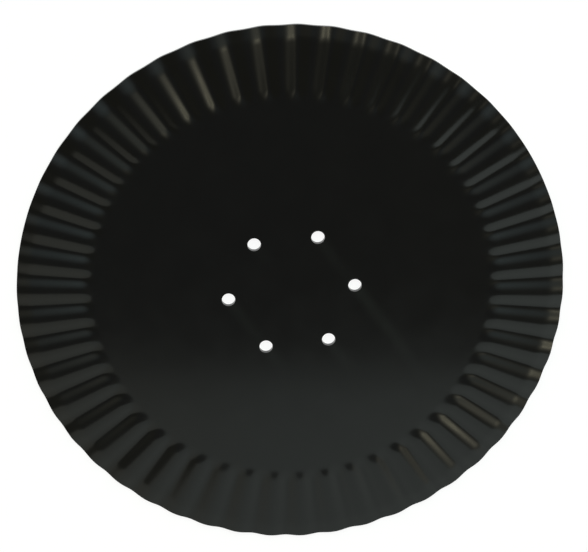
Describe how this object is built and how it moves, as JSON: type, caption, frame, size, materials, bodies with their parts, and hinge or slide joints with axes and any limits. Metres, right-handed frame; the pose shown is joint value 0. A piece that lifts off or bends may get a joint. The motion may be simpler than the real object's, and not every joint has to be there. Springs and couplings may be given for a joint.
{
  "type": "wavy seed drill disc",
  "caption": "Flat round steel disc with pressed radial flutes round its ground rim, bolted through a ring of holes to a hub, to slice soil and crop residue ahead of seed.",
  "frame": {"origin": "centre of the disc, halfway through its flat plate", "axes": "+Z along the disc's axis, out of its bevelled front face; +X through a bolt hole and along the crest of a flute"},
  "size_m": [0.43, 0.43, 0.0064],
  "materials": {
    "black_paint": "gloss"
  },
  "bodies": {
    "root": {"wavy_disc": "black_paint"}
  },
  "joints": []
}
